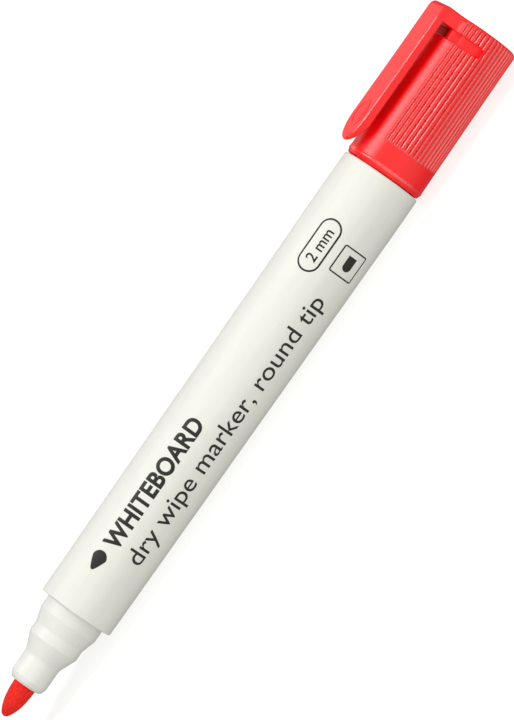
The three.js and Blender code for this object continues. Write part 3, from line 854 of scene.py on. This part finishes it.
def text_bmesh(body, length, height, bold=0.0, spacing=1.0, cap="H"):
    """Text as closed flat shapes, scaled so that it is length long and its capitals, or the letters given, are height tall."""
    def shape(s):
        cu = bpy.data.curves.new("t", "FONT")
        cu.body, cu.size, cu.offset, cu.extrude = s, 1.0, bold, 0.1
        cu.space_character = spacing
        cu.resolution_u = 6
        o = bpy.data.objects.new("t", cu)
        bpy.context.scene.collection.objects.link(o)
        bpy.context.view_layer.update()
        me = bpy.data.meshes.new_from_object(o.evaluated_get(bpy.context.evaluated_depsgraph_get()))
        bpy.data.objects.remove(o)
        bpy.data.curves.remove(cu)
        bm = bmesh.new()
        bm.from_mesh(me)
        bpy.data.meshes.remove(me)
        return bm
    ref = shape(cap)
    tall = max(v.co.y for v in ref.verts) - max(0, min(v.co.y for v in ref.verts))
    ref.free()
    bm = shape(body)
    bmesh.ops.remove_doubles(bm, verts=bm.verts, dist=1e-5)
    xs = [v.co.x for v in bm.verts]
    x0, wide = min(xs), max(xs) - min(xs)
    for v in bm.verts:
        v.co.x = (v.co.x - x0) * length / wide
        v.co.y = v.co.y * height / tall
    print(f"text {body!r}: squeezed along to {length / wide / (height / tall):.3f} of its natural width")
    return bm


def prism(bm, outer, inner=None):
    """A closed flat shape between two outlines of equal length, or the whole of a star-shaped outline."""
    n = len(outer)
    if inner is None:
        c = np.mean(outer, axis=0)
        rings = [np.asarray(outer) * w + c * (1 - w) for w in (1, 0.8, 0.6, 0.4, 0.2)]
        layers = {}
        for z in (1, -1):
            layers[z] = [[bm.verts.new((*p, 0.1 * z)) for p in r] for r in rings]
            mid = bm.verts.new((*c, 0.1 * z))
            for a, b in zip(layers[z][:-1], layers[z][1:]):
                for j in range(n):
                    k = (j + 1) % n
                    bm.faces.new((a[j], a[k], b[k], b[j]))
            for j in range(n):
                bm.faces.new((layers[z][-1][j], layers[z][-1][(j + 1) % n], mid))
        for j in range(n):
            k = (j + 1) % n
            bm.faces.new((layers[1][0][j], layers[1][0][k], layers[-1][0][k], layers[-1][0][j]))
        return
    vs = {}
    for key, path in (("o", outer), ("i", inner)):
        for z in (1, -1):
            vs[key, z] = [bm.verts.new((*p, 0.1 * z)) for p in path]
    for j in range(n):
        k = (j + 1) % n
        bm.faces.new((vs["o", 1][j], vs["o", 1][k], vs["i", 1][k], vs["i", 1][j]))
        bm.faces.new((vs["o", -1][j], vs["i", -1][j], vs["i", -1][k], vs["o", -1][k]))
        bm.faces.new((vs["o", 1][j], vs["o", -1][j], vs["o", -1][k], vs["o", 1][k]))
        bm.faces.new((vs["i", 1][j], vs["i", 1][k], vs["i", -1][k], vs["i", -1][j]))


def round_rect(cx, cy, w, h, r, n=10, side=16):
    pts = []
    for qx, qy, a0 in ((1, 1, 0), (-1, 1, 90), (-1, -1, 180), (1, -1, 270)):
        for k in range(n + 1):
            a = math.radians(a0 + 90 * k / n)
            pts.append((cx + qx * (w / 2 - r) + r * math.cos(a), cy + qy * (h / 2 - r) + r * math.sin(a)))
    out = []
    for i, (p, q) in enumerate(zip(pts, pts[1:] + pts[:1])):  # points along the straight sides too
        k = side if i % (n + 1) == n else 1
        out += [(p[0] + (q[0] - p[0]) * t / k, p[1] + (q[1] - p[1]) * t / k) for t in range(k)]
    return np.array(out)


TH_TITLE = math.radians(63.4)
decal_from_bmesh("print_title", text_bmesh("WHITEBOARD", 28.0, 3.35, bold=0.033, spacing=1.04), 36.6, TH_TITLE)
decal_from_bmesh("print_line", text_bmesh("dry wipe marker, round tip", 58.6, 3.5, bold=0.003, cap="d"), 36.6, math.radians(104.2))

bm = bmesh.new()
prism(bm, round_rect(0, 0, 11.0, 4.5, 2.24), round_rect(0, 0, 10.3, 3.8, 1.89))
t = text_bmesh("2 mm", 6.6, 2.1, bold=0.012, cap="2")
for v in t.verts:
    v.co.x -= 3.3
    v.co.y -= 1.05
me = bpy.data.meshes.new("t")
t.to_mesh(me)
t.free()
bm.from_mesh(me)
bpy.data.meshes.remove(me)
decal_from_bmesh("print_width_badge", bm, 103.1, math.radians(51.0))

bm = bmesh.new()
prism(bm, round_rect(0, 0, 5.7, 5.7, 0.45), round_rect(0, 0, 5.15, 5.15, 0.2))
body_path = []
for k in range(25):  # a round tip: half circle in front, straight sides behind
    a = math.radians(90 + 180 * k / 24)
    body_path.append((-0.55 + 0.95 * math.cos(a), 0.95 * math.sin(a)))
body_path += [(x, -0.95) for x in np.linspace(-0.3, 1.5, 7)] + [(1.5, y) for y in np.linspace(-0.7, 0.7, 5)] + [(x, 0.95) for x in np.linspace(1.5, -0.3, 7)]
prism(bm, np.array(body_path))
decal_from_bmesh("print_tip_symbol", bm, 103.2, math.radians(99.6))

bm = bmesh.new()
drop = []
for k in range(60):  # an ink drop
    a = 2 * math.pi * k / 60
    r = 1.45
    x, y = r * math.cos(a), r * math.sin(a)
    if x < 0:
        x = x * 1.35 - 0.0
        y = y * (1 - 0.0)
    pull = max(0.0, math.cos(a - math.pi)) ** 3
    drop.append((x * (1 + 0.0) - 0.55 * pull, y * (1 - 0.35 * max(0.0, -math.cos(a)) ** 0.8)))
prism(bm, np.array(drop))
decal_from_bmesh("print_drop", bm, 33.9, math.radians(48.5))

# ---------------------------------------------------------------- stage
def stage_disc(name, radius, z, n=96):
    bm = bmesh.new()
    ring = [bm.verts.new((radius * math.cos(2 * math.pi * k / n), radius * math.sin(2 * math.pi * k / n), z)) for k in range(n)]
    bm.faces.new(ring)
    me = bpy.data.meshes.new(name)
    bm.to_mesh(me)
    bm.free()
    ob = bpy.data.objects.new(name, me)
    bpy.context.scene.collection.objects.link(ob)
    return ob


floor = stage_disc("studio_floor", 5.3, -0.0001)
m, nt, b = new_material("floor_paper")
n = noise_tex(nt, mm_coords(nt), 0.02, 3, 0.5)
nt.links.new(ramp(nt, n, [(0.3, (0.25, 0.25, 0.245)), (0.7, (0.27, 0.27, 0.265))]), b.inputs["Base Color"])
b.inputs["Roughness"].default_value = 0.95
b.inputs["Specular IOR Level"].default_value = 0.0
b.inputs["Emission Color"].default_value = (1, 1, 0.985, 1)
b.inputs["Emission Strength"].default_value = 0.83
floor.data.materials.append(m)
floor.visible_diffuse = False
floor.visible_glossy = False
floor.visible_shadow = False

bm = bmesh.new()
bmesh.ops.create_uvsphere(bm, u_segments=48, v_segments=24, radius=5.4)
me = bpy.data.meshes.new("studio_backdrop")
bm.to_mesh(me)
bm.free()
dome = bpy.data.objects.new("studio_backdrop", me)
bpy.context.scene.collection.objects.link(dome)
m = bpy.data.materials.new("backdrop_white")
m.use_nodes = True
m.node_tree.nodes.clear()
e = m.node_tree.nodes.new("ShaderNodeEmission")
shade = noise_tex(m.node_tree, mm_coords(m.node_tree), 0.0006, 2, 0.5)
m.node_tree.links.new(ramp(m.node_tree, shade, [(0.3, (0.985, 0.985, 0.98)), (0.7, (1, 1, 0.995))]), e.inputs["Color"])
e.inputs["Strength"].default_value = 0.94
o = m.node_tree.nodes.new("ShaderNodeOutputMaterial")
m.node_tree.links.new(e.outputs[0], o.inputs[0])
dome.data.materials.append(m)
for flag in ("visible_diffuse", "visible_glossy", "visible_transmission", "visible_shadow", "visible_volume_scatter"):
    setattr(dome, flag, False)

# ---------------------------------------------------------------- camera
el = math.radians(ELEV)
up = Vector((0, math.sin(el), math.cos(el)))
back = Vector((0, -math.cos(el), math.sin(el)))
along = Vector((1, 0, 0))
roll = math.radians(55.0)
right = math.cos(roll) * along - math.sin(roll) * up
img_up = math.sin(roll) * along + math.cos(roll) * up
aim = Vector((X0 + 0.0794, 0, AXIS)) - up * 0.00078 + img_up * 0.00022
cam_data = bpy.data.cameras.new("camera")
cam_data.sensor_width = 36
cam_data.lens = 262
cam = bpy.data.objects.new("camera", cam_data)
bpy.context.scene.collection.objects.link(cam)
rot = np.array([right, img_up, back]).T
from mathutils import Matrix

cam.matrix_world = Matrix.Translation(aim + back * 0.955) @ Matrix(rot.tolist()).to_4x4()
bpy.context.scene.camera = cam


# ---------------------------------------------------------------- light
def area(name, loc, target, size_x, size_y, watts, color=(1, 1, 1)):
    d = bpy.data.lights.new(name, "AREA")
    d.shape = "RECTANGLE"
    d.size, d.size_y = size_x, size_y
    d.energy = watts
    d.color = color
    ob = bpy.data.objects.new(name, d)
    bpy.context.scene.collection.objects.link(ob)
    ob.location = loc
    ob.visible_camera = False
    ob.rotation_mode = "QUATERNION"
    ob.rotation_quaternion = (Vector(target) - Vector(loc)).to_track_quat("-Z", "Y")
    return ob


area("key_overhead", (0.0, 0.0, 0.70), (0, 0, 0), 0.28, 0.28, 2.7)
area("end_soft", (0.85, -0.25, 0.45), (0, 0, 0.01), 0.40, 0.40, 1.2)
area("back_soft", (0.0, 0.90, 0.41), (0, 0, 0.01), 0.90, 0.26, 0.9)

w = bpy.data.worlds.new("studio")
bpy.context.scene.world = w
w.use_nodes = True
nt = w.node_tree
nt.nodes.clear()
tc = nt.nodes.new("ShaderNodeTexCoord")
dot = nt.nodes.new("ShaderNodeVectorMath")
dot.operation = "DOT_PRODUCT"
dot.inputs[1].default_value = (0.0, -0.9975, 0.07)
nt.links.new(tc.outputs["Generated"], dot.inputs[0])
mr = to_range(nt, dot.outputs["Value"], 0.0, 1.0, -1.0, 1.0)
col = ramp(nt, mr, [(0.0, (0.20, 0.20, 0.192)), (0.42, (0.16, 0.16, 0.154)), (0.5, (0.22, 0.22, 0.21)), (1.0, (1.10, 1.10, 1.04))])
bg = nt.nodes.new("ShaderNodeBackground")
bg.inputs["Strength"].default_value = 1.0
nt.links.new(col, bg.inputs["Color"])
wo = nt.nodes.new("ShaderNodeOutputWorld")
nt.links.new(bg.outputs[0], wo.inputs[0])

sc = bpy.context.scene
sc.view_settings.view_transform = "Standard"
sc.view_settings.look = "None"
sc.view_settings.exposure = 0.0
sc.view_settings.gamma = 1.0
